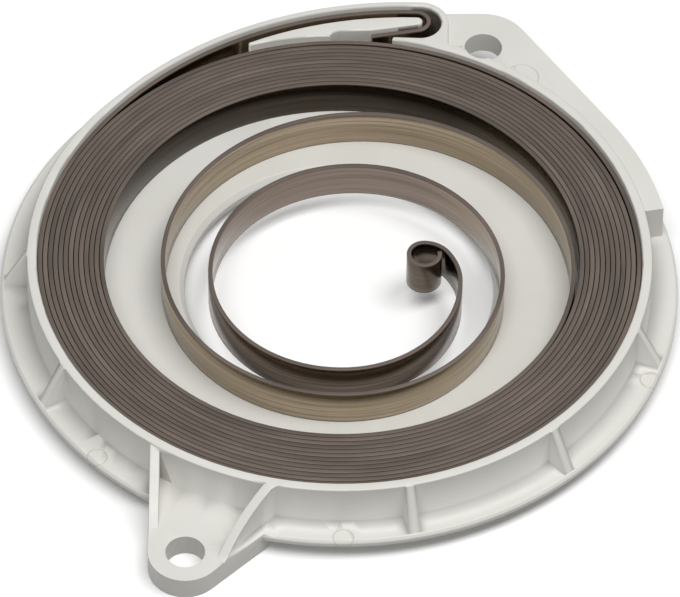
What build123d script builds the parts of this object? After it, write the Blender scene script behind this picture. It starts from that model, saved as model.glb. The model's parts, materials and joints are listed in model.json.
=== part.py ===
from build123d import *
import math
import os

os.makedirs("parts", exist_ok=True)

# Spring cassette of a recoil starter, in millimetres, +Z up.
# The Z axis is the axis of the hub opening, and Z = 0 is the underside of the floor.
# Angles are in degrees about Z, from +X towards +Y.

# Cassette: round wall, floor and flange
wall_inner_r = 38.0
wall_thick = 1.3
wall_height = 5.6
top_bevel = 0.2
floor_thick = 1.6
flange_width = 3.45
flange_thick = 1.3
flange_bevel = 0.35
hub_r = 19.5
hub_bevel = 0.7
locating_rim_thick = 2.2

# Spring strip and how it is wound
strip_thick = 0.55
strip_width = 5.0
strip_gap = 0.095
wall_gap = 0.1
pack_angle = 145.0
first_turn_end = 35.0
packed_half_turns = 25
loose_turns = (
    (2.8, 35.0),
    (3.6, 90.0),
    (4.6, 90.0),
    (7.4, 90.0),
    (9.7, 90.0),
    (11.4, 90.0),
    (11.7, 90.0),
    (13.5, 90.0),
    (14.9, 90.0),
)
eye_mid_r = 1.95
eye_opening = 78.0
eye_approach = ((6.55, 36.0), (1.65, 54.0))

# Hook pocket, which bulges out of the wall on the far side
pocket_start_angle = 153.0
pocket_offset = 9.85
pocket_wall_thick = 0.95
hook_angle = 88.5
fold_mid_r = 1.66
fold_back = 0.65
hook_leg = 6.15
hook_leg_slope = 11.4

# Island that the hook folds round, and the guide that keeps the second turn inside
slot_clearance = 1.18
guide_step = 0.15
guide_angle = 90.0
guide_blend_angle = 48.0
guide_blend_step = 0.03
island_left_angle = 108.5
island_nose_r = 0.7
island_nose_back = 0.46
island_tip_round = 0.28
notch_left = -1.98
notch_height = 0.8
notch_round = 1.9
tongue_leg = 3.4

# Screw lugs
screw_hole_r = 2.4
near_lug_thick = 3.2
near_lug_offset = 8.9
near_lug_angle = -112.3
near_lug_r = 4.6
near_lug_slope = 45.0
far_lug_thick = 3.15
far_lug_drop = 0.45
far_lug_angle = 63.6
far_lug_r = 6.1
far_hole_web = 0.45
ledge_width = 2.5
ledge_angle = 12.0
ledge_full_angle = 38.0
flange_end_angle = 74.0

# Ribs and gussets
gusset_angles = (-18.0, -47.2, -76.8, -150.2, -179.0)
gusset_thick = 1.4
gusset_edge = 0.5
left_rib_thick = 1.2
left_rib_end = 3.7
right_rib_thick = 1.2
right_rib_root_angle = -101.0
right_rib_end_angle = -20.0
right_rib_bow = 0.6

# Heights and radii that follow
flange_top = floor_thick
flange_bottom = flange_top - flange_thick
base = flange_top - near_lug_thick
wall_top = flange_top + wall_height
wall_outer_r = wall_inner_r + wall_thick
wall_mid_r = wall_inner_r + wall_thick / 2
flange_r = wall_outer_r + flange_width
ledge_r = wall_outer_r + ledge_width
near_lug_reach = wall_outer_r + near_lug_offset
pocket_inner_r = wall_inner_r + pocket_offset
pocket_outer_r = pocket_inner_r + pocket_wall_thick
guide_r = wall_inner_r - guide_step
far_lug_top = wall_top - far_lug_drop
far_lug_bottom = far_lug_top - far_lug_thick
far_lug_reach = wall_inner_r + far_hole_web + screw_hole_r
strip_pitch = strip_thick + strip_gap
strip_inset = wall_gap + strip_thick / 2
slot_width = wall_gap + strip_thick + slot_clearance


def polar(radius, angle):
    """Point at a radius and an angle about the hub axis."""
    return Vector(radius * math.cos(math.radians(angle)), radius * math.sin(math.radians(angle)))


# The pocket ends in a round cavity, between its outer wall and the tongue.
# Reaches are distances from the pocket's centre, along the line through the cavity's centre.
hub_axis = Vector(0, 0)
pocket_centre = polar(-pocket_offset, pocket_start_angle)
pocket_path_r = pocket_inner_r - strip_inset
island_r = pocket_inner_r - slot_width
tongue_reach = guide_r - pocket_centre.Y
hook_cavity_r = (pocket_inner_r - tongue_reach) / 2
hook_centre = pocket_centre + polar(pocket_inner_r - hook_cavity_r, hook_angle)
boss_r = hook_cavity_r + pocket_wall_thick
fold_angle = hook_angle + fold_back
fold_centre = pocket_centre + polar(pocket_path_r - fold_mid_r, fold_angle)
fold_start_angle = hook_leg_slope - 90
near_hole = polar(near_lug_reach, near_lug_angle)
far_hole = polar(far_lug_reach, far_lug_angle)


def by_hook(left, reach):
    """Point at a reach from the pocket's centre, and so far left of the cavity's centre line."""
    return pocket_centre + polar(reach, hook_angle) + polar(left, hook_angle + 90)


def disc(centre, radius):
    """Round plan area about a point."""
    return Pos(centre.X, centre.Y) * Circle(radius)


def area(*points):
    """Plan area with straight sides."""
    return make_face(Polyline(*points, close=True))


def sector(centre, radius, start, end):
    """Pie-shaped plan area about a point."""
    arc = CenterArc((centre.X, centre.Y), radius, start, end - start)
    return make_face([Line(centre, arc @ 0), arc, Line(arc @ 1, centre)])


def raised(plan, bottom, top):
    """Solid that stands on a plan area between two heights."""
    return extrude(Pos(0, 0, bottom) * plan, amount=top - bottom)


def pocket_plan():
    """Outside of the wall, with the pocket's bulge and the boss at its right-hand end."""
    right = hook_centre.X + boss_r
    cheek = area(
        (hook_centre.X, 0),
        (right, 0),
        (right, hook_centre.Y),
        (hook_centre.X, hook_centre.Y),
    )
    bulge = sector(pocket_centre, pocket_outer_r, hook_angle, pocket_start_angle)
    return Circle(wall_outer_r) + bulge + disc(hook_centre, boss_r) + cheek


def cavity_plan():
    """Inside of the wall, with the pocket that takes the strip's folded end."""
    bulge = sector(pocket_centre, pocket_inner_r, hook_angle, pocket_start_angle)
    return Circle(wall_inner_r) + bulge + disc(hook_centre, hook_cavity_r)


def island_plan():
    """Free-standing island between the strip's outer leg and the packed turns."""
    nose_angle = hook_angle + island_nose_back
    nose = pocket_centre + polar(island_r - island_nose_r, nose_angle)
    nose_far = pocket_centre + polar(2 * island_r, nose_angle)
    chin = nose + polar(island_nose_r, fold_start_angle)
    heel = chin - polar(hook_leg, hook_leg_slope)
    tip = polar(2 * wall_inner_r, island_left_angle)
    plan = disc(pocket_centre, island_r) - Circle(guide_r)
    plan &= area(hub_axis, tip, nose_far, nose, chin, (chin.X, 0))
    notch_corner = (notch_left, guide_r + notch_height)
    notch = area((notch_left, 0), notch_corner, heel, chin, (chin.X, 0))
    plan -= fillet(notch.vertices().sort_by_distance(notch_corner)[0], notch_round)
    corners = plan.vertices().sort_by(Axis.X)[0:2]
    return fillet(corners, island_tip_round) + disc(nose, island_nose_r)


def guide_plan():
    """Tongue under the folded end, faired into the round wall."""
    inner = ThreePointArc(
        polar(guide_r, guide_angle),
        polar(guide_r + guide_blend_step, (guide_angle + guide_blend_angle) / 2),
        polar(wall_inner_r, guide_blend_angle),
    )
    outer_end = polar(wall_outer_r, guide_blend_angle)
    pad = make_face([
        inner,
        Line(inner @ 1, outer_end),
        Line(outer_end, (outer_end.X, wall_outer_r)),
        Line((outer_end.X, wall_outer_r), (0, wall_outer_r)),
        Line((0, wall_outer_r), inner @ 0),
    ])
    pad &= Circle(wall_outer_r)
    knee = by_hook(0, tongue_reach - strip_thick)
    tongue_back = (by_hook(tongue_leg, tongue_reach), by_hook(0, tongue_reach))
    return pad & area(hub_axis, *tongue_back, knee, (wall_outer_r, knee.Y), (wall_outer_r, 0))


def wall():
    """Upright wall, pocket wall, island and tongue, with their top edges bevelled."""
    plan = pocket_plan() - cavity_plan() + guide_plan() + island_plan()
    body = raised(plan, flange_top, wall_top)
    return chamfer(body.edges().group_by(Axis.Z)[-1], top_bevel)


def tray():
    """Floor and flange, with the hub opening and the rim that locates the tray from below."""
    flange = raised(Circle(flange_r), flange_bottom, flange_top)
    flange = chamfer(flange.edges().filter_by(GeomType.CIRCLE), flange_bevel)
    relief = sector(hub_axis, 2 * flange_r, ledge_full_angle, flange_end_angle) - Circle(wall_outer_r)
    flange -= raised(relief, flange_bottom, flange_top)
    floor = raised(Circle(wall_inner_r) + pocket_plan(), 0, flange_top)
    rim = raised(Circle(wall_outer_r) - Circle(wall_outer_r - locating_rim_thick), base, 0)
    body = flange + floor + rim - raised(Circle(hub_r), base, flange_top)
    brim = body.edges().group_by(Axis.Z)[-1].sort_by_distance((0, 0, flange_top))[0]
    return chamfer(brim, hub_bevel)


def far_lug():
    """Raised lug close under the wall's top, and the ledge that leads up to it."""
    spread = math.degrees(math.acos((ledge_r - far_lug_r) / far_lug_reach))
    tangent = far_lug_angle - spread
    lug_side = far_hole + polar(far_lug_r, tangent)
    lug_back = far_hole + polar(far_lug_r, 90)
    boss_back = hook_centre + Vector(0, boss_r / 2)
    web = area(hub_axis, polar(ledge_r, tangent), lug_side, far_hole)
    neck = area((hook_centre.X, 0), far_hole, lug_back, boss_back)
    ledge = sector(hub_axis, ledge_r, ledge_angle, far_lug_angle)
    plan = ledge + web + disc(far_hole, far_lug_r) + neck
    plate = raised(plan - Circle(wall_mid_r) - cavity_plan(), far_lug_bottom, far_lug_top)
    riser_plan = sector(hub_axis, ledge_r, ledge_angle, ledge_full_angle) - Circle(wall_mid_r)
    return plate + raised(riser_plan, flange_bottom, far_lug_top)


def near_lug():
    """Thick lug at flange level, with a straight side, a sloping side and a screw hole."""
    left = near_hole.X - near_lug_r
    tip = near_hole.Y - near_lug_r
    inside = -wall_inner_r / 2
    shoulder = near_hole + polar(near_lug_r, -near_lug_slope)
    plan = disc(near_hole, near_lug_r) + area(
        (left, near_hole.Y),
        near_hole,
        shoulder,
        shoulder + polar(wall_outer_r, near_lug_slope),
        (left, inside),
    )
    plan -= Circle(wall_mid_r)
    plan &= area((left, tip), (0, tip), (0, inside), (left, inside))
    return raised(plan - disc(near_hole, screw_hole_r), base, flange_top)


def left_rib():
    """Straight rib flush with the straight side of the near lug."""
    outer = near_hole.X - near_lug_r
    foot = near_hole.Y + left_rib_end
    root = -math.sqrt(wall_mid_r ** 2 - (outer + left_rib_thick / 2) ** 2)
    slope = Polyline((root, flange_top), (root, wall_top), (foot, flange_top), close=True)
    return extrude(make_face(Plane.YZ.offset(outer) * slope), amount=left_rib_thick)


def right_rib():
    """Curved rib that follows the sloping side of the near lug."""
    start = polar(wall_mid_r, right_rib_root_angle)
    end = near_hole + polar(near_lug_r, right_rib_end_angle)
    middle = (start + end) / 2 + polar(right_rib_bow, 180 - near_lug_slope)
    block = raised(trace(ThreePointArc(start, middle, end), right_rib_thick), flange_top, wall_top)
    along = (end - start).normalized()
    run = (end - start).length
    side = Plane(origin=start, x_dir=along, z_dir=Vector(along.Y, -along.X, 0))
    slope = Polyline(
        (0, 0),
        (0, wall_top),
        (wall_thick, wall_top),
        (run, flange_top),
        (run, 0),
        close=True,
    )
    return block & extrude(make_face(side * slope), amount=near_lug_r, both=True)


def gusset(angle):
    """Triangular gusset between the wall and the flange."""
    shoulder = wall_top - top_bevel
    slope = Polyline(
        (wall_mid_r, flange_top),
        (flange_r - gusset_edge, flange_top),
        (wall_outer_r, shoulder),
        (wall_mid_r, shoulder),
        close=True,
    )
    return Rot(0, 0, angle) * extrude(make_face(Plane.XZ * slope), amount=gusset_thick / 2, both=True)


def far_screw_way():
    """Far screw's hole, cut into the wall's outer side, and the screw's relief under the lug."""
    hole = raised(disc(far_hole, screw_hole_r), far_lug_bottom, wall_top)
    middle_r = wall_inner_r + far_hole_web + screw_hole_r / 2
    flat = Pos(middle_r, 0) * Rectangle(screw_hole_r, 2 * screw_hole_r)
    return hole + raised(Rot(0, 0, far_lug_angle) * flat, base, far_lug_bottom)


def cassette():
    """The one moulded piece."""
    body = tray() + wall() + far_lug() + near_lug() + left_rib() + right_rib()
    for angle in gusset_angles:
        body += gusset(angle)
    return body - far_screw_way()


def first_turn():
    """Arcs of the outer turn, which keeps to the wall and then steps in by one pitch."""
    half_step = (pack_angle - first_turn_end) / 2
    shift = strip_pitch / 2 / (1 - math.cos(math.radians(half_step)))
    radius = wall_inner_r - strip_inset
    return [
        (radius, 360 + first_turn_end - pocket_start_angle),
        (radius - shift, half_step),
        (radius - strip_pitch + shift, half_step),
    ]


def turns():
    """Radius and sweep of each arc of the wound strip, from the wall inwards to the eye."""
    radius = wall_inner_r - strip_inset - strip_pitch
    arcs = first_turn()
    for half_turn in range(packed_half_turns - 2):
        arcs.append((radius, 180.0))
        radius -= strip_pitch / 2
    for inset, sweep in loose_turns:
        arcs.append((radius + strip_pitch / 2 - inset, sweep))
    for beyond_eye, sweep in eye_approach:
        arcs.append((eye_mid_r + beyond_eye, sweep))
    arcs.append((eye_mid_r, 360.0 - eye_opening))
    return arcs


def strip_path():
    """Middle line of the strip as (centre, radius, start angle, sweep), from the hook inwards."""
    path = [
        (fold_centre, fold_mid_r, fold_start_angle, fold_angle - fold_start_angle),
        (pocket_centre, pocket_path_r, fold_angle, pocket_start_angle - fold_angle),
    ]
    angle = pocket_start_angle
    point = polar(wall_inner_r - strip_inset, angle)
    for radius, sweep in turns():
        centre = point - polar(radius, angle)
        path.append((centre, radius, angle, sweep))
        angle += sweep
        point = centre + polar(radius, angle)
    return path


def spring():
    """The wound strip, in one piece from its folded hook to its rolled eye."""
    half = strip_thick / 2
    outer = []
    inner = []
    for centre, radius, start, sweep in strip_path():
        outer.append(CenterArc((centre.X, centre.Y), radius + half, start, sweep))
        inner.append(CenterArc((centre.X, centre.Y), radius - half, start, sweep))
    leg_back = polar(-hook_leg, hook_leg_slope)
    leg_outer = Line(outer[0] @ 0 + leg_back, outer[0] @ 0)
    leg_inner = Line(inner[0] @ 0 + leg_back, inner[0] @ 0)
    ends = [Line(leg_outer @ 0, leg_inner @ 0), Line(outer[-1] @ 1, inner[-1] @ 1)]
    plan = make_face([leg_outer, leg_inner] + outer + inner + ends)
    return raised(plan, flange_top, flange_top + strip_width)


export_step(cassette(), "parts/spring_cassette.step")
export_step(spring(), "parts/recoil_spring.step")
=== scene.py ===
import json
import math

import bmesh
import bpy
from bpy.props import FloatProperty, FloatVectorProperty, IntProperty, PointerProperty
from mathutils import Matrix, Vector


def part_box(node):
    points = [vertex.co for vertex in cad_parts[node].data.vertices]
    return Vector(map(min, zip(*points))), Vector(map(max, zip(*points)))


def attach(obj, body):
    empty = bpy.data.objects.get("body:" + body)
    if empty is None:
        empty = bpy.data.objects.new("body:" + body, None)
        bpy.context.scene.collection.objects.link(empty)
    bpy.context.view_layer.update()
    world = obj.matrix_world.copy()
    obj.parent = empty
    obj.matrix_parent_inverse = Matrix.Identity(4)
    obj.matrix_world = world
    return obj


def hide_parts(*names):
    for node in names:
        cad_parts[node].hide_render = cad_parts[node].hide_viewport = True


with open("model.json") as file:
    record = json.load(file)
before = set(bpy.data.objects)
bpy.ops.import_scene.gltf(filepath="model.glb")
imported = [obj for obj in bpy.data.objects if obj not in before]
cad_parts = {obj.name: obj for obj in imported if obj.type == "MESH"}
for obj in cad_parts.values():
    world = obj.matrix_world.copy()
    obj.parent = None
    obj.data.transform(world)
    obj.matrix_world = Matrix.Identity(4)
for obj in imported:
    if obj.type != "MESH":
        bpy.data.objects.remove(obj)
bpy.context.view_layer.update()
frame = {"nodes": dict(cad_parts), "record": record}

bl_info = {
    "name": "Recoil Starter Spring",
    "version": (1, 0, 0),
    "blender": (4, 5, 0),
    "location": "View3D > Sidebar > Starter Spring",
    "description": "Moulded cassette, wound strip spring and studio of a recoil starter spring",
    "category": "Mesh",
}

# Sizes are in metres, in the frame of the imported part: the hub's axis is Z
MM = 0.001
CASSETTE_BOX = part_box("spring_cassette")
SPRING_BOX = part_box("recoil_spring")
MOUNTS = {mount["name"]: mount for mount in frame["record"]["mounts"]}
STRIP_BOTTOM = SPRING_BOX[0][2]
STRIP_WIDTH = SPRING_BOX[1][2] - SPRING_BOX[0][2]
BASE_HEIGHT = CASSETTE_BOX[0][2]
WALL_TOP = CASSETTE_BOX[1][2]

# Flat faces across each rounded edge, of the plastic and of the strip
ROUND_SEGMENTS = 2

# Places of the colour sockets on a Mix node
MIX_FACTOR, COLOUR_A, COLOUR_B, COLOUR_RESULT = 0, 6, 7, 2


class CassetteSettings(bpy.types.PropertyGroup):
    """Finish of the moulded cassette."""

    edge_round: FloatProperty(
        name="Edge round", description="Radius left on the moulding's edges",
        default=0.1 * MM, min=0.0, precision=6, unit="LENGTH")
    sharp_angle: FloatProperty(
        name="Sharp angle",
        description="Turn between two faces from which their edge is rounded",
        default=math.radians(32.0), subtype="ANGLE")
    colour: FloatVectorProperty(
        name="Plastic", description="Colour of the unpainted plastic",
        default=(0.645, 0.635, 0.597), subtype="COLOR", min=0.0, max=1.0)
    shade_colour: FloatVectorProperty(
        name="Plastic, duller", description="Colour of the duller patches",
        default=(0.61, 0.598, 0.556), subtype="COLOR", min=0.0, max=1.0)
    mark_colour: FloatVectorProperty(
        name="Ejector marks",
        description="Colour of the thin rings that the ejector pins leave",
        default=(0.46, 0.445, 0.40), subtype="COLOR", min=0.0, max=1.0)
    # Painted shade: a dark colour laid on the walls of the deep pocket round the hook
    pocket_shade_colour: FloatVectorProperty(
        name="Pocket shade", description="Colour of the painted shade in the pocket round the hook",
        default=(0.10, 0.083, 0.068), subtype="COLOR", min=0.0, max=1.0)
    roughness: FloatProperty(
        name="Roughness", description="How dull the plastic is",
        default=0.42, min=0.0, max=1.0, subtype="FACTOR")


class SpringSettings(bpy.types.PropertyGroup):
    """Shape and finish of the wound strip."""

    thickness: FloatProperty(
        name="Strip thickness", description="Thickness of the spring strip",
        default=0.55 * MM, precision=6, unit="LENGTH")
    gap: FloatProperty(
        name="Packed gap", description="Room between two packed turns",
        default=0.095 * MM, precision=6, unit="LENGTH")
    edge_round: FloatProperty(
        name="Edge round", description="Radius of the strip's rolled edges",
        default=0.05 * MM, precision=6, unit="LENGTH")
    edge_band: FloatProperty(
        name="Edge band", description="How far the slit edge's tone reaches down the faces",
        default=0.25 * MM, precision=6, unit="LENGTH")
    packed_half_turns: IntProperty(
        name="Packed half turns", description="Half turns that lie close together",
        default=25, min=3)
    pack_angle: FloatProperty(
        name="Pack angle", description="Where each packed turn begins",
        default=math.radians(145.0), subtype="ANGLE")
    first_turn_end: FloatProperty(
        name="First turn's end",
        description="Where the outer turn leaves the wall to step inwards",
        default=math.radians(35.0), subtype="ANGLE")
    pocket_angle: FloatProperty(
        name="Pocket angle", description="Where the outer leg leaves the round wall",
        default=math.radians(153.0), subtype="ANGLE")
    pocket_offset: FloatProperty(
        name="Pocket offset",
        description="How far the pocket's centre lies from the hub's axis",
        default=9.85 * MM, precision=6, unit="LENGTH")
    fold_angle: FloatProperty(
        name="Fold angle", description="Direction of the fold from the pocket's centre",
        default=math.radians(89.15), subtype="ANGLE")
    fold_radius: FloatProperty(
        name="Fold radius", description="Middle radius of the folded hook",
        default=1.66 * MM, precision=6, unit="LENGTH")
    hook_leg: FloatProperty(
        name="Hook leg", description="Length of the hook's short straight leg",
        default=6.15 * MM, precision=6, unit="LENGTH")
    hook_leg_slope: FloatProperty(
        name="Hook leg slope", description="Direction of the short leg, towards the fold",
        default=math.radians(11.4), subtype="ANGLE")
    eye_opening: FloatProperty(
        name="Eye opening", description="Angle that the rolled eye leaves open",
        default=math.radians(78.0), subtype="ANGLE")
    colour: FloatVectorProperty(
        name="Steel", description="Colour of the strip's tempered faces",
        default=(0.43, 0.35, 0.255), subtype="COLOR", min=0.0, max=1.0)
    streak_tone: FloatProperty(
        name="Streak tone",
        description="Share of the faces' brightness that is left in their streaks",
        default=0.58, min=0.0, max=1.0, subtype="FACTOR")
    inner_colour: FloatVectorProperty(
        name="Steel, inner turn", description="Colour of the faces near the eye",
        default=(0.24, 0.19, 0.158), subtype="COLOR", min=0.0, max=1.0)
    eye_colour: FloatVectorProperty(
        name="Steel, eye", description="Colour of the rolled eye's faces",
        default=(0.14, 0.113, 0.088), subtype="COLOR", min=0.0, max=1.0)
    eye_length: FloatProperty(
        name="Eye's length",
        description="Distance from the strip's end that has the eye's colour",
        default=14.0 * MM, unit="LENGTH")
    inner_length: FloatProperty(
        name="Inner turn's length",
        description="Distance from the eye that has the inner turn's colour",
        default=105.0 * MM, unit="LENGTH")
    # Painted shade: a length of the strip's faces is darkened where it stands close beside the
    # first loose turn
    painted_shade_place: FloatProperty(
        name="Shaded place",
        description="Distance from the eye to the middle of the length with painted shade",
        default=402.0 * MM, unit="LENGTH")
    painted_shade_reach: FloatProperty(
        name="Shade reach", description="How far the painted shade reaches to either side of that place",
        default=62.0 * MM, unit="LENGTH")
    painted_shade_colour: FloatVectorProperty(
        name="Steel, painted shade", description="Colour of the painted shade on the faces",
        default=(0.075, 0.06, 0.048), subtype="COLOR", min=0.0, max=1.0)
    edge_colour: FloatVectorProperty(
        name="Steel, edges", description="Colour of the strip's slit edges",
        default=(0.172, 0.136, 0.113), subtype="COLOR", min=0.0, max=1.0)
    edge_streak_colour: FloatVectorProperty(
        name="Steel, dull edges", description="Colour of the duller turns' edges",
        default=(0.097, 0.077, 0.065), subtype="COLOR", min=0.0, max=1.0)
    roughness: FloatProperty(
        name="Roughness", description="How dull the strip's faces are",
        default=0.2, min=0.0, max=1.0, subtype="FACTOR")
    edge_roughness: FloatProperty(
        name="Edge roughness", description="How dull the strip's slit edges are",
        default=0.55, min=0.0, max=1.0, subtype="FACTOR")


class StudioSettings(bpy.types.PropertyGroup):
    """Floor and camera."""

    elevation: FloatProperty(
        name="Camera elevation", description="Angle of the camera above the floor",
        default=0.838079, subtype="ANGLE")
    roll: FloatProperty(
        name="Camera roll", description="Roll of the camera about its own axis",
        default=0.0141356, subtype="ANGLE")
    distance: FloatProperty(
        name="Camera distance", description="Distance from the camera to its target",
        default=0.85612, unit="LENGTH")
    lens: FloatProperty(
        name="Lens", description="Focal length in millimetres on a 36 mm sensor",
        default=360.13, min=1.0)
    floor_colour: FloatVectorProperty(
        name="Floor", description="Colour of the pale floor",
        default=(0.96, 0.96, 0.955), subtype="COLOR", min=0.0, max=1.0)


def only(piece):
    """Leaves one object selected and active."""
    bpy.ops.object.select_all(action="DESELECT")
    piece.select_set(True)
    bpy.context.view_layer.objects.active = piece


def polar(radius, angle):
    """Point in the floor's plane at a radius and an angle about the hub's axis."""
    return Vector((radius * math.cos(angle), radius * math.sin(angle), 0.0))


def spin(centre, sweep, steps):
    """Carries the selected section anticlockwise round an upright axis."""
    bpy.ops.mesh.spin(steps=steps, angle=sweep, center=centre, axis=(0.0, 0.0, -1.0))


def on_whole_mesh(operator, **values):
    """Runs an operator of edit mode on the whole active mesh."""
    bpy.ops.object.mode_set(mode="EDIT")
    bpy.ops.mesh.select_all(action="SELECT")
    operator(**values)
    bpy.ops.object.mode_set(mode="OBJECT")


def new_material(name):
    """Empty node material: its nodes, its links and the shader that it ends in."""
    material = bpy.data.materials.new(name)
    material.use_nodes = True
    nodes = material.node_tree.nodes
    nodes.clear()
    output = nodes.new("ShaderNodeOutputMaterial")
    shader = nodes.new("ShaderNodeBsdfPrincipled")
    material.node_tree.links.new(shader.outputs["BSDF"], output.inputs["Surface"])
    return material, nodes, material.node_tree.links, shader


def feed(links, value, socket):
    """Links a socket to an input, or sets a plain number or colour on it."""
    if isinstance(value, bpy.types.NodeSocket):
        links.new(value, socket)
    elif socket.type == "RGBA":
        socket.default_value = (*value, 1.0)
    else:
        socket.default_value = value


def object_place(nodes):
    """Coordinates of the object itself."""
    return nodes.new("ShaderNodeTexCoord").outputs["Object"]


def noise(nodes, links, vector, scale, detail, size=(1.0, 1.0, 1.0)):
    """Noise of a scale in features per metre, stretched by size."""
    mapping = nodes.new("ShaderNodeMapping")
    mapping.inputs["Scale"].default_value = size
    texture = nodes.new("ShaderNodeTexNoise")
    texture.inputs["Scale"].default_value = scale
    texture.inputs["Detail"].default_value = detail
    links.new(vector, mapping.inputs["Vector"])
    links.new(mapping.outputs["Vector"], texture.inputs["Vector"])
    return texture.outputs["Fac"]


def ramp(nodes, links, value, low, high, from_value=0.0, to_value=1.0):
    """Value mapped from low..high to from_value..to_value, and held at the ends."""
    span = nodes.new("ShaderNodeMapRange")
    span.inputs["From Min"].default_value = low
    span.inputs["From Max"].default_value = high
    span.inputs["To Min"].default_value = from_value
    span.inputs["To Max"].default_value = to_value
    links.new(value, span.inputs["Value"])
    return span.outputs["Result"]


def fade(nodes, links, value, low, high):
    """One below low, nought above high."""
    return ramp(nodes, links, value, low, high, 1.0, 0.0)


def tint(nodes, links, factor, under, over):
    """Colour that goes from one to another; each is a socket or a plain colour."""
    mix = nodes.new("ShaderNodeMix")
    mix.data_type = "RGBA"
    links.new(factor, mix.inputs[MIX_FACTOR])
    feed(links, under, mix.inputs[COLOUR_A])
    feed(links, over, mix.inputs[COLOUR_B])
    return mix.outputs[COLOUR_RESULT]


def calculate(nodes, links, operation, first, second=None):
    """Result of one sum; the second part is a socket or a number."""
    node = nodes.new("ShaderNodeMath")
    node.operation = operation
    links.new(first, node.inputs[0])
    if second is not None:
        feed(links, second, node.inputs[1])
    return node.outputs["Value"]


def off_value(nodes, links, value, middle):
    """How far a value lies from the middle one, either way."""
    apart = calculate(nodes, links, "SUBTRACT", value, middle)
    return calculate(nodes, links, "ABSOLUTE", apart)


def off_point(nodes, links, place, point):
    """Distance from a point."""
    span = nodes.new("ShaderNodeVectorMath")
    span.operation = "DISTANCE"
    span.inputs[1].default_value = point
    links.new(place, span.inputs[0])
    return span.outputs["Value"]


def axes_of(nodes, links, place):
    """The coordinates X, Y and Z, each as a socket."""
    axes = nodes.new("ShaderNodeSeparateXYZ")
    links.new(place, axes.inputs["Vector"])
    return axes.outputs


def flat_place(nodes, links, along, across, axis):
    """Coordinates made of two values, the first as X and the other as a chosen axis."""
    flat = nodes.new("ShaderNodeCombineXYZ")
    links.new(along, flat.inputs["X"])
    links.new(across, flat.inputs[axis])
    return flat.outputs["Vector"]


def add_bump(nodes, links, shader, height, strength, depth):
    """Faint relief in the surface's shading."""
    bump = nodes.new("ShaderNodeBump")
    bump.inputs["Strength"].default_value = strength
    bump.inputs["Distance"].default_value = depth
    links.new(height, bump.inputs["Height"])
    links.new(bump.outputs["Normal"], shader.inputs["Normal"])


# Rings that the ejector pins leave: X, Y, height of the face and radius
EJECTOR_MARKS = (
    (-29.55 * MM, -29.6 * MM, 1.6 * MM, 1.25 * MM),
    (0.94 * MM, -42.0 * MM, 1.6 * MM, 1.25 * MM),
    (38.9 * MM, -15.7 * MM, 1.6 * MM, 1.25 * MM),
    (23.1 * MM, 31.4 * MM, 6.75 * MM, 2.15 * MM),
)
# How far a ring's colour reaches to either side of it
MARK_LINE = 0.1 * MM
# How far above its face a ring's colour begins to fade, and ends
MARK_FADE = (0.02 * MM, 0.06 * MM)


def ejector_rings(nodes, links, place):
    """One on the thin rings that the ejector pins leave, and nought elsewhere."""
    height = axes_of(nodes, links, place)["Z"]
    rings = None
    for x, y, z, radius in EJECTOR_MARKS:
        off_centre = off_point(nodes, links, place, (x, y, z))
        off_ring = off_value(nodes, links, off_centre, radius)
        ring = fade(nodes, links, off_ring, 0.0, MARK_LINE)
        on_face = fade(nodes, links, height, z + MARK_FADE[0], z + MARK_FADE[1])
        ring = calculate(nodes, links, "MULTIPLY", ring, on_face)
        rings = ring if rings is None else calculate(nodes, links, "MAXIMUM", rings, ring)
    return rings


# Pocket round the hook: its middle, and where its painted shade fades outwards and upwards
HOOK_POCKET = (9.957 * MM, 40.599 * MM, 0.0)
POCKET_SHADE_SIDE_FADE = (2.864 * MM, 3.064 * MM)
POCKET_SHADE_TOP_FADE = (6.6 * MM, 7.1 * MM)
# Noise of the painted shade: features per metre and detail, the span that counts, and the
# faintest share of the shade
POCKET_SHADE_NOISE = (700.0, 3.0)
POCKET_SHADE_SPAN = (0.3, 0.7)
LEAST_POCKET_SHADE = 0.75


def hook_pocket_shade(nodes, links, place):
    """Painted shade: one on the walls of the pocket round the hook, and nought elsewhere."""
    axes = axes_of(nodes, links, place)
    in_plan = flat_place(nodes, links, axes["X"], axes["Y"], "Y")
    off_pocket = off_point(nodes, links, in_plan, HOOK_POCKET)
    inside = fade(nodes, links, off_pocket, *POCKET_SHADE_SIDE_FADE)
    low = fade(nodes, links, axes["Z"], *POCKET_SHADE_TOP_FADE)
    patches = noise(nodes, links, place, *POCKET_SHADE_NOISE)
    patchy = ramp(nodes, links, patches, *POCKET_SHADE_SPAN, LEAST_POCKET_SHADE, 1.0)
    held = calculate(nodes, links, "MULTIPLY", inside, low)
    return calculate(nodes, links, "MULTIPLY", held, patchy)


# Noises of the plastic: features per metre and detail; then the span that counts
PATCH_NOISE, PATCH_SPAN = (60.0, 3.0), (0.35, 0.7)
DULL_NOISE, DULL_SPAN = (400.0, 2.0), (0.3, 0.7)
GRAIN_NOISE = (2600.0, 2.0)
GRAIN_STRENGTH, GRAIN_DEPTH = 0.12, 0.04 * MM
# How far the plastic's roughness goes below and above its level
PLASTIC_SPREAD = (-0.05, 0.08)


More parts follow.
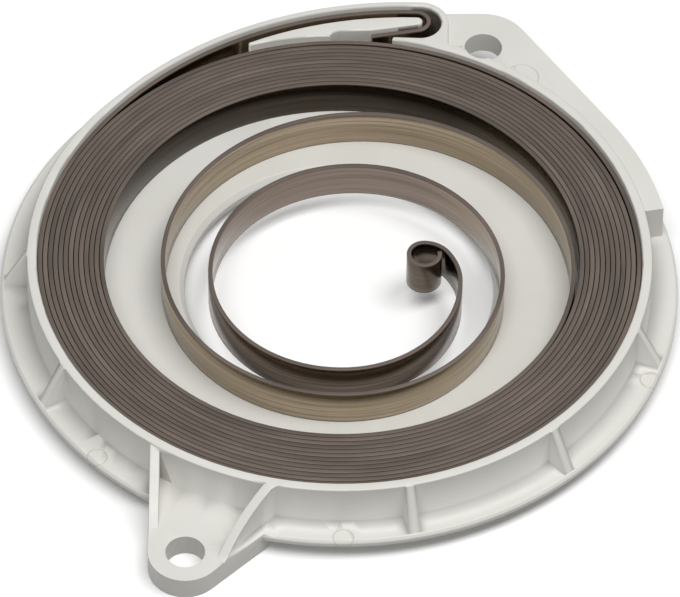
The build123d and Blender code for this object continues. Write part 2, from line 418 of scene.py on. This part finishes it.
def plastic_material(settings):
    """Natural plastic: faint patches, a fine grain, the pins' marks and painted shade in the
    pocket round the hook.
    """
    material, nodes, links, shader = new_material("cassette_plastic")
    place = object_place(nodes)
    patches = ramp(nodes, links, noise(nodes, links, place, *PATCH_NOISE), *PATCH_SPAN)
    colour = tint(nodes, links, patches, settings.colour, settings.shade_colour)
    rings = ejector_rings(nodes, links, place)
    colour = tint(nodes, links, rings, colour, settings.mark_colour)
    # Painted shade darkens the walls of the pocket round the hook
    shade_in_pocket = hook_pocket_shade(nodes, links, place)
    colour = tint(nodes, links, shade_in_pocket, colour, settings.pocket_shade_colour)
    links.new(colour, shader.inputs["Base Color"])
    dull = noise(nodes, links, place, *DULL_NOISE)
    spread = [settings.roughness + part for part in PLASTIC_SPREAD]
    links.new(ramp(nodes, links, dull, *DULL_SPAN, *spread), shader.inputs["Roughness"])
    grain = noise(nodes, links, place, *GRAIN_NOISE)
    add_bump(nodes, links, shader, grain, GRAIN_STRENGTH, GRAIN_DEPTH)
    return material


# Noises of the strip: features per metre along it (X) and up it (Z), and detail
STREAK_SIZE, STREAK_DETAIL = (35.0, 1.0, 3400.0), 5.0
TARNISH_SIZE, TARNISH_DETAIL = (45.0, 1.0, 300.0), 3.0
LINE_SIZE, LINE_DETAIL = (120.0, 1.0, 9000.0), 4.0
# Spans of the noises that count, for the tone, the roughness and the edges
STREAK_TONES = (0.35, 0.68)
STREAK_DULLNESS = (0.35, 0.7)
TARNISH_SPAN = (0.34, 0.62)
LINE_STRENGTH, LINE_DEPTH = 0.06, 0.02 * MM
# How far the steel's roughness goes below and above its level
STEEL_SPREAD = (-0.04, 0.08)
# How metallic the tarnished edges are
EDGE_METALLIC = 0.25
# Where a tone has given way to the next, as a share of its length
INNER_FADE = 1.25
EYE_FADE = 2.0
# Share of the painted shade's reach that is dark all over
FULLY_SHADED = 0.4


def face_tones(nodes, links, run, streaks, settings):
    """Colour of the strip's faces: it changes along the strip, takes painted shade on one
    length, and has streaks.
    """
    inner, eye = settings.inner_length, settings.eye_length
    near_eye = fade(nodes, links, run, inner, INNER_FADE * inner)
    faces = tint(nodes, links, near_eye, settings.colour, settings.inner_colour)
    on_eye = fade(nodes, links, run, eye, EYE_FADE * eye)
    faces = tint(nodes, links, on_eye, faces, settings.eye_colour)
    # Painted shade on the length of the strip that stands close beside the first loose turn
    reach = settings.painted_shade_reach
    from_shade_middle = off_value(nodes, links, run, settings.painted_shade_place)
    in_shade = fade(nodes, links, from_shade_middle, FULLY_SHADED * reach, reach)
    faces = tint(nodes, links, in_shade, faces, settings.painted_shade_colour)
    streaked = nodes.new("ShaderNodeVectorMath")
    streaked.operation = "SCALE"
    links.new(faces, streaked.inputs["Vector"])
    share = ramp(nodes, links, streaks, *STREAK_TONES, 1.0, settings.streak_tone)
    links.new(share, streaked.inputs["Scale"])
    return streaked.outputs["Vector"]


def steel_material(settings):
    """Tempered strip steel: streaks run along the strip, and its slit edges are duller."""
    material, nodes, links, shader = new_material("spring_steel")
    along = nodes.new("ShaderNodeAttribute")
    along.attribute_name = "strip_run"
    run = along.outputs["Fac"]
    height = axes_of(nodes, links, object_place(nodes))["Z"]
    on_strip = flat_place(nodes, links, run, height, "Z")
    streaks = noise(nodes, links, on_strip, 1.0, STREAK_DETAIL, STREAK_SIZE)
    tarnish = noise(nodes, links, on_strip, 1.0, TARNISH_DETAIL, TARNISH_SIZE)
    tarnish = ramp(nodes, links, tarnish, *TARNISH_SPAN)
    faces = face_tones(nodes, links, run, streaks, settings)
    edges = tint(nodes, links, tarnish, settings.edge_colour, settings.edge_streak_colour)
    half = STRIP_WIDTH / 2
    from_middle = off_value(nodes, links, height, STRIP_BOTTOM + half)
    at_edge = ramp(nodes, links, from_middle, half - settings.edge_band, half)
    links.new(tint(nodes, links, at_edge, faces, edges), shader.inputs["Base Color"])
    metallic = ramp(nodes, links, at_edge, 0.0, 1.0, 1.0, EDGE_METALLIC)
    links.new(metallic, shader.inputs["Metallic"])
    rough_mix = nodes.new("ShaderNodeMix")
    links.new(at_edge, rough_mix.inputs["Factor"])
    spread = [settings.roughness + part for part in STEEL_SPREAD]
    on_faces = ramp(nodes, links, streaks, *STREAK_DULLNESS, *spread)
    links.new(on_faces, rough_mix.inputs["A"])
    rough_mix.inputs["B"].default_value = settings.edge_roughness
    links.new(rough_mix.outputs["Result"], shader.inputs["Roughness"])
    lines = noise(nodes, links, on_strip, 1.0, LINE_DETAIL, LINE_SIZE)
    add_bump(nodes, links, shader, lines, LINE_STRENGTH, LINE_DEPTH)
    return material


# The floor's faint patches: features per metre and detail, and how bright the dull ones are
FLOOR_NOISE = (4.0, 2.0)
FLOOR_DULLER = 0.98
FLOOR_ROUGHNESS = 0.8


def floor_material(colour):
    """Plain pale floor."""
    material, nodes, links, shader = new_material("pale_floor")
    patches = noise(nodes, links, object_place(nodes), *FLOOR_NOISE)
    duller = tuple(FLOOR_DULLER * part for part in colour)
    links.new(tint(nodes, links, patches, colour, duller), shader.inputs["Base Color"])
    shader.inputs["Roughness"].default_value = FLOOR_ROUGHNESS
    return material


# Share of the shortest edge beside it that an edge's rounding may take
ROOM_ALONG_CURVE = 0.6
ROOM_AT_CORNER = 0.25
# Two edges that turn by less than this are one curve
CURVE_TURN = math.radians(40.0)
# Where more sharp edges meet, none of them is rounded
MOST_SHARP_EDGES = 3
LEAST_ROUND = 0.04 * MM
# The wall's top edges have the part's own bevel, and stay as they are
BEVELLED_ABOVE = WALL_TOP - 0.25 * MM
BEVEL_TURN = math.radians(50.0)


def turn_at(point, edge, other):
    """Angle by which a line turns where it goes from one edge to another."""
    into = point.co - edge.other_vert(point).co
    out = other.other_vert(point).co - point.co
    return into.angle(out)


def room_for_round(edge, sharp):
    """Radius that fits an edge, by the sharp edges that it meets."""
    room = math.inf
    for point in edge.verts:
        near = [other for other in point.link_edges if other in sharp]
        shortest = min(other.calc_length() for other in near)
        if len(near) > MOST_SHARP_EDGES:
            return 0.0
        if len(near) == 2 and turn_at(point, *near) < CURVE_TURN:
            room = min(room, ROOM_ALONG_CURVE * shortest)
        else:
            room = min(room, ROOM_AT_CORNER * shortest)
    return room


def is_bevelled(edge):
    """Tells whether an edge belongs to the bevel along the wall's top."""
    on_top = min(point.co.z for point in edge.verts) > BEVELLED_ABOVE
    return on_top and edge.calc_face_angle() < BEVEL_TURN


def weigh_edges(mesh, settings):
    """Weight of each outer edge for the bevel: its rounding as a share of the full one."""
    shape = bmesh.new()
    shape.from_mesh(mesh)
    weight = shape.edges.layers.float.new("bevel_weight_edge")
    sharp = {edge for edge in shape.edges if edge.calc_face_angle() > settings.sharp_angle}
    for edge in sharp:
        room = room_for_round(edge, sharp)
        if edge.is_convex and room > LEAST_ROUND and not is_bevelled(edge):
            edge[weight] = min(1.0, room / settings.edge_round)
    shape.to_mesh(mesh)
    shape.free()


# Groove's section: its radius, and how far above the face its centre lies
GROOVE_RADIUS = 0.07 * MM
GROOVE_LIFT = 0.02 * MM
GROOVE_SIDES = 8
WHOLE_RING_STEPS = 48
CUT_RING_STEPS = 32
# Outer radius of the wall, which stands on part of one mark
WALL_OUTSIDE = 39.35 * MM


def groove_cutter(x, y, z, radius):
    """Ring that cuts an ejector pin's groove; it stops where the wall covers the mark."""
    centre = Vector((x, y, z + GROOVE_LIFT))
    reach = math.hypot(x, y)
    # Cosine of half the arc that the wall leaves free; below -1 the ring is whole
    cosine = (WALL_OUTSIDE ** 2 - reach ** 2 - radius ** 2) / (2 * reach * radius)
    if cosine < -1.0:
        bpy.ops.mesh.primitive_torus_add(
            location=centre, major_radius=radius, minor_radius=GROOVE_RADIUS,
            major_segments=WHOLE_RING_STEPS, minor_segments=GROOVE_SIDES)
        return bpy.context.active_object
    half = math.acos(cosine)
    start = math.atan2(y, x) - half
    bpy.ops.mesh.primitive_circle_add(
        vertices=GROOVE_SIDES, radius=GROOVE_RADIUS, fill_type="NGON",
        location=centre + polar(radius, start), rotation=(math.pi / 2, 0.0, start))
    cutter = bpy.context.active_object
    bpy.ops.object.transform_apply(location=True, rotation=True, scale=True)
    bpy.ops.object.mode_set(mode="EDIT")
    bpy.ops.mesh.select_all(action="SELECT")
    spin(centre, 2 * half, CUT_RING_STEPS)
    bpy.ops.mesh.select_all(action="SELECT")
    bpy.ops.mesh.normals_make_consistent(inside=False)
    bpy.ops.object.mode_set(mode="OBJECT")
    return cutter


def cut_ejector_marks(piece):
    """Cuts the fine rings of the ejector pins into the moulding."""
    for mark in EJECTOR_MARKS:
        bpy.ops.object.select_all(action="DESELECT")
        cutter = groove_cutter(*mark)
        only(piece)
        groove = piece.modifiers.new("ejector mark", "BOOLEAN")
        groove.operation = "DIFFERENCE"
        groove.solver = "EXACT"
        groove.object = cutter
        bpy.ops.object.modifier_apply(modifier="ejector mark")
        only(cutter)
        bpy.ops.object.delete()
    only(piece)


# Points closer than this are one point
MERGE_REACH = 0.002 * MM
# Most edges that a hole may have to be closed
HOLE_EDGES = 8


class STARTER_OT_mould_cassette(bpy.types.Operator):
    """Dress the cassette: clean skin, rounded edges and plastic"""

    bl_idname = "starter.mould_cassette"
    bl_label = "Mould the cassette"

    def execute(self, context):
        settings = context.scene.starter_cassette
        only(frame["nodes"]["spring_cassette"])
        bpy.ops.object.duplicate()
        piece = context.active_object
        piece.name = "moulded_cassette"
        on_whole_mesh(bpy.ops.mesh.remove_doubles, threshold=MERGE_REACH)
        weigh_edges(piece.data, settings)
        bevel = piece.modifiers.new("edges", "BEVEL")
        bevel.width = settings.edge_round
        bevel.segments = ROUND_SEGMENTS
        bevel.limit_method = "WEIGHT"
        bevel.use_clamp_overlap = False
        bpy.ops.object.modifier_apply(modifier="edges")
        cut_ejector_marks(piece)
        # A corner that the rounding leaves open is closed
        on_whole_mesh(bpy.ops.mesh.fill_holes, sides=HOLE_EDGES)
        bpy.ops.object.shade_smooth_by_angle(angle=settings.sharp_angle)
        normals = piece.modifiers.new("flat faces", "WEIGHTED_NORMAL")
        normals.keep_sharp = True
        bpy.ops.object.modifier_apply(modifier="flat faces")
        piece.data.materials.clear()
        piece.data.materials.append(plastic_material(settings))
        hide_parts("spring_cassette")
        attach(piece, "root")
        return {"FINISHED"}


# Arcs of the loose turns, from the pack inwards: how far inside it, and the sweep in degrees
LOOSE_TURNS = (
    (2.8 * MM, 35.0),
    (3.6 * MM, 90.0),
    (4.6 * MM, 90.0),
    (7.4 * MM, 90.0),
    (9.7 * MM, 90.0),
    (11.4 * MM, 90.0),
    (11.7 * MM, 90.0),
    (13.5 * MM, 90.0),
    (14.9 * MM, 90.0),
)
# Arcs that lead into the eye: how much wider than the eye, and the sweep in degrees
EYE_APPROACH = ((6.55 * MM, 36.0), (1.65 * MM, 54.0))


def strip_arcs(settings):
    """Radius and sweep of each arc of the strip, from the wall inwards."""
    pitch = settings.thickness + settings.gap
    radius = -SPRING_BOX[0][0] - settings.thickness / 2
    eye_radius = MOUNTS["spring_eye"]["dims"]["r_mm"] * MM + settings.thickness / 2
    half_step = (settings.pack_angle - settings.first_turn_end) / 2
    shift = pitch / 2 / (1 - math.cos(half_step))
    arcs = [
        (radius, math.tau + settings.first_turn_end - settings.pocket_angle),
        (radius - shift, half_step),
        (radius - pitch + shift, half_step),
    ]
    radius -= pitch
    # The first turn and its step inwards stand for the first two half turns
    for _ in range(settings.packed_half_turns - 2):
        arcs.append((radius, math.pi))
        radius -= pitch / 2
    for inset, sweep in LOOSE_TURNS:
        arcs.append((radius + pitch / 2 - inset, math.radians(sweep)))
    for wider, sweep in EYE_APPROACH:
        arcs.append((eye_radius + wider, math.radians(sweep)))
    arcs.append((eye_radius, math.tau - settings.eye_opening))
    return arcs


def add_strip_end(settings, place, along):
    """Rounded section of the strip, standing on the cassette's floor at the hook's cut end."""
    bpy.ops.object.select_all(action="DESELECT")
    bpy.ops.mesh.primitive_plane_add(size=1.0, location=(0.0, 0.0, 0.0))
    piece = bpy.context.active_object
    piece.name = "wound_strip"
    across = Vector((-along.y, along.x, 0.0))
    middle = place + Vector((0.0, 0.0, STRIP_BOTTOM + STRIP_WIDTH / 2))
    upright = Matrix((
        (across.x * settings.thickness, 0.0, along.x, middle.x),
        (across.y * settings.thickness, 0.0, along.y, middle.y),
        (0.0, STRIP_WIDTH, 0.0, middle.z),
        (0.0, 0.0, 0.0, 1.0),
    ))
    piece.data.transform(upright)
    bpy.ops.object.mode_set(mode="EDIT")
    bpy.ops.mesh.select_all(action="SELECT")
    bpy.ops.mesh.bevel(
        offset=settings.edge_round, segments=ROUND_SEGMENTS, affect="VERTICES")
    bpy.ops.mesh.select_all(action="SELECT")
    return piece


# Four corners, each rounded by ROUND_SEGMENTS
SECTION_POINTS = 4 * (ROUND_SEGMENTS + 1)


def mark_strip_run(piece):
    """Gives each point its distance along the strip from the eye's end."""
    points = piece.data.vertices
    sections = len(points) // SECTION_POINTS
    if sections * SECTION_POINTS != len(points):
        raise RuntimeError("The strip isn't made of whole sections")
    runs = []
    run = 0.0
    before = None
    for section in range(sections):
        start = section * SECTION_POINTS
        ring = points[start:start + SECTION_POINTS]
        middle = sum((point.co for point in ring), Vector()) / SECTION_POINTS
        if before is not None:
            run += (middle - before).length
        before = middle
        runs.extend([run] * SECTION_POINTS)
    attribute = piece.data.attributes.new("strip_run", "FLOAT", "POINT")
    attribute.data.foreach_set("value", [run - part for part in runs])


# Steps of each of the hook's arcs, and the fewest of any other arc
HOOK_STEPS = 24
LEAST_STEPS = 8
# Steps for one radian at a radius of 1 mm; they grow with the radius's square root
STEPS_PER_RADIAN = 3.4
STRIP_SMOOTH_ANGLE = math.radians(40.0)


def arc_steps(radius, sweep):
    """Number of flat steps that an arc of the strip gets."""
    return max(LEAST_STEPS, round(sweep * math.sqrt(radius / MM) * STEPS_PER_RADIAN))


class STARTER_OT_wind_spring(bpy.types.Operator):
    """Wind the strip from its folded hook to its rolled eye"""

    bl_idname = "starter.wind_spring"
    bl_label = "Wind the spring"

    def execute(self, context):
        settings = context.scene.starter_spring
        outer = -SPRING_BOX[0][0] - settings.thickness / 2
        pocket = polar(-settings.pocket_offset, settings.pocket_angle)
        to_fold = outer + settings.pocket_offset - settings.fold_radius
        fold = pocket + polar(to_fold, settings.fold_angle)
        fold_start = settings.hook_leg_slope - math.pi / 2
        leg = polar(settings.hook_leg, settings.hook_leg_slope)
        cut_end = fold + polar(settings.fold_radius, fold_start) - leg
        piece = add_strip_end(settings, cut_end, leg.normalized())
        bpy.ops.mesh.extrude_region_move(TRANSFORM_OT_translate={"value": leg})
        spin(fold, settings.fold_angle - fold_start, HOOK_STEPS)
        spin(pocket, settings.pocket_angle - settings.fold_angle, HOOK_STEPS)
        angle = settings.pocket_angle
        point = polar(outer, angle)
        for radius, sweep in strip_arcs(settings):
            centre = point - polar(radius, angle)
            spin(centre, sweep, arc_steps(radius, sweep))
            angle += sweep
            point = centre + polar(radius, angle)
        bpy.ops.mesh.select_all(action="SELECT")
        bpy.ops.mesh.normals_make_consistent(inside=False)
        bpy.ops.object.mode_set(mode="OBJECT")
        bpy.ops.object.shade_smooth_by_angle(angle=STRIP_SMOOTH_ANGLE)
        mark_strip_run(piece)
        piece.data.materials.append(steel_material(settings))
        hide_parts("recoil_spring")
        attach(piece, "root")
        return {"FINISHED"}


# Stage: sizes and places in metres, power in watts, the sensor in millimetres
FLOOR_SIZE = 3.0
SOFTBOX_PLACE = Vector((0.10, -0.18, 0.80))
SOFTBOX_WIDTH = 1.0
SOFTBOX_HEIGHT = 0.35
SOFTBOX_POWER = 7.2
ROOM_LIGHT = 0.33
CAMERA_TARGET = Vector((0.1165 * MM, -2.7824 * MM, STRIP_BOTTOM))
SENSOR_WIDTH = 36.0
NEAR_CLIP = 0.01


class STARTER_OT_set_stage(bpy.types.Operator):
    """Lay the floor, hang the light and place the camera"""

    bl_idname = "starter.set_stage"
    bl_label = "Set the stage"

    def execute(self, context):
        studio = context.scene.starter_studio
        bpy.ops.object.select_all(action="DESELECT")
        bpy.ops.mesh.primitive_plane_add(size=FLOOR_SIZE, location=(0.0, 0.0, BASE_HEIGHT))
        floor = context.active_object
        floor.name = "pale_floor"
        floor.data.materials.append(floor_material(studio.floor_colour))
        # The background of the photograph is cut out: no light comes back up from it
        floor.visible_diffuse = False
        self.hang_softbox(context)
        self.light_room(context)
        self.place_camera(context, studio)
        context.scene.view_settings.view_transform = "Standard"
        return {"FINISHED"}

    def hang_softbox(self, context):
        """Wide soft light overhead, turned towards the part."""
        data = bpy.data.lights.new("wide_softbox", "AREA")
        data.shape = "RECTANGLE"
        data.size = SOFTBOX_WIDTH
        data.size_y = SOFTBOX_HEIGHT
        data.energy = SOFTBOX_POWER
        lamp = bpy.data.objects.new("wide_softbox", data)
        context.scene.collection.objects.link(lamp)
        lamp.location = SOFTBOX_PLACE
        lamp.rotation_euler = (-SOFTBOX_PLACE).to_track_quat("-Z", "Y").to_euler()

    def light_room(self, context):
        """Even light from all round."""
        world = bpy.data.worlds.new("studio_room")
        world.use_nodes = True
        background = world.node_tree.nodes["Background"]
        background.inputs["Color"].default_value = (1.0, 1.0, 1.0, 1.0)
        background.inputs["Strength"].default_value = ROOM_LIGHT
        context.scene.world = world

    def place_camera(self, context, studio):
        """Long lens at the photograph's angle."""
        data = bpy.data.cameras.new("camera")
        data.lens = studio.lens
        data.sensor_width = SENSOR_WIDTH
        data.clip_start = NEAR_CLIP
        camera = bpy.data.objects.new("camera", data)
        context.scene.collection.objects.link(camera)
        forward = Vector((0.0, math.cos(studio.elevation), -math.sin(studio.elevation)))
        level = Vector((1.0, 0.0, 0.0))
        upright = level.cross(forward)
        right = level * math.cos(studio.roll) + upright * math.sin(studio.roll)
        up = right.cross(forward)
        turn = Matrix((right, up, -forward)).transposed()
        place = CAMERA_TARGET - forward * studio.distance
        camera.matrix_world = Matrix.Translation(place) @ turn.to_4x4()
        context.scene.camera = camera


class STARTER_PT_spring(bpy.types.Panel):
    """Sizes, finishes and steps of the starter spring"""

    bl_idname = "STARTER_PT_spring"
    bl_label = "Starter Spring"
    bl_space_type = "VIEW_3D"
    bl_region_type = "UI"
    bl_category = "Starter Spring"

    def draw(self, context):
        layout = self.layout
        scene = context.scene
        groups = (
            ("starter.mould_cassette", scene.starter_cassette),
            ("starter.wind_spring", scene.starter_spring),
            ("starter.set_stage", scene.starter_studio),
        )
        for operator, settings in groups:
            box = layout.box()
            box.operator(operator)
            for name in settings.__annotations__:
                box.prop(settings, name)


CLASSES = (
    CassetteSettings,
    SpringSettings,
    StudioSettings,
    STARTER_OT_mould_cassette,
    STARTER_OT_wind_spring,
    STARTER_OT_set_stage,
    STARTER_PT_spring,
)


def register():
    for cls in CLASSES:
        bpy.utils.register_class(cls)
    bpy.types.Scene.starter_cassette = PointerProperty(type=CassetteSettings)
    bpy.types.Scene.starter_spring = PointerProperty(type=SpringSettings)
    bpy.types.Scene.starter_studio = PointerProperty(type=StudioSettings)


def unregister():
    del bpy.types.Scene.starter_studio
    del bpy.types.Scene.starter_spring
    del bpy.types.Scene.starter_cassette
    for cls in reversed(CLASSES):
        bpy.utils.unregister_class(cls)


def main():
    """Builds the dressed part and its studio."""
    register()
    bpy.ops.starter.mould_cassette()
    bpy.ops.starter.wind_spring()
    bpy.ops.starter.set_stage()


if __name__ == "__main__":
    main()
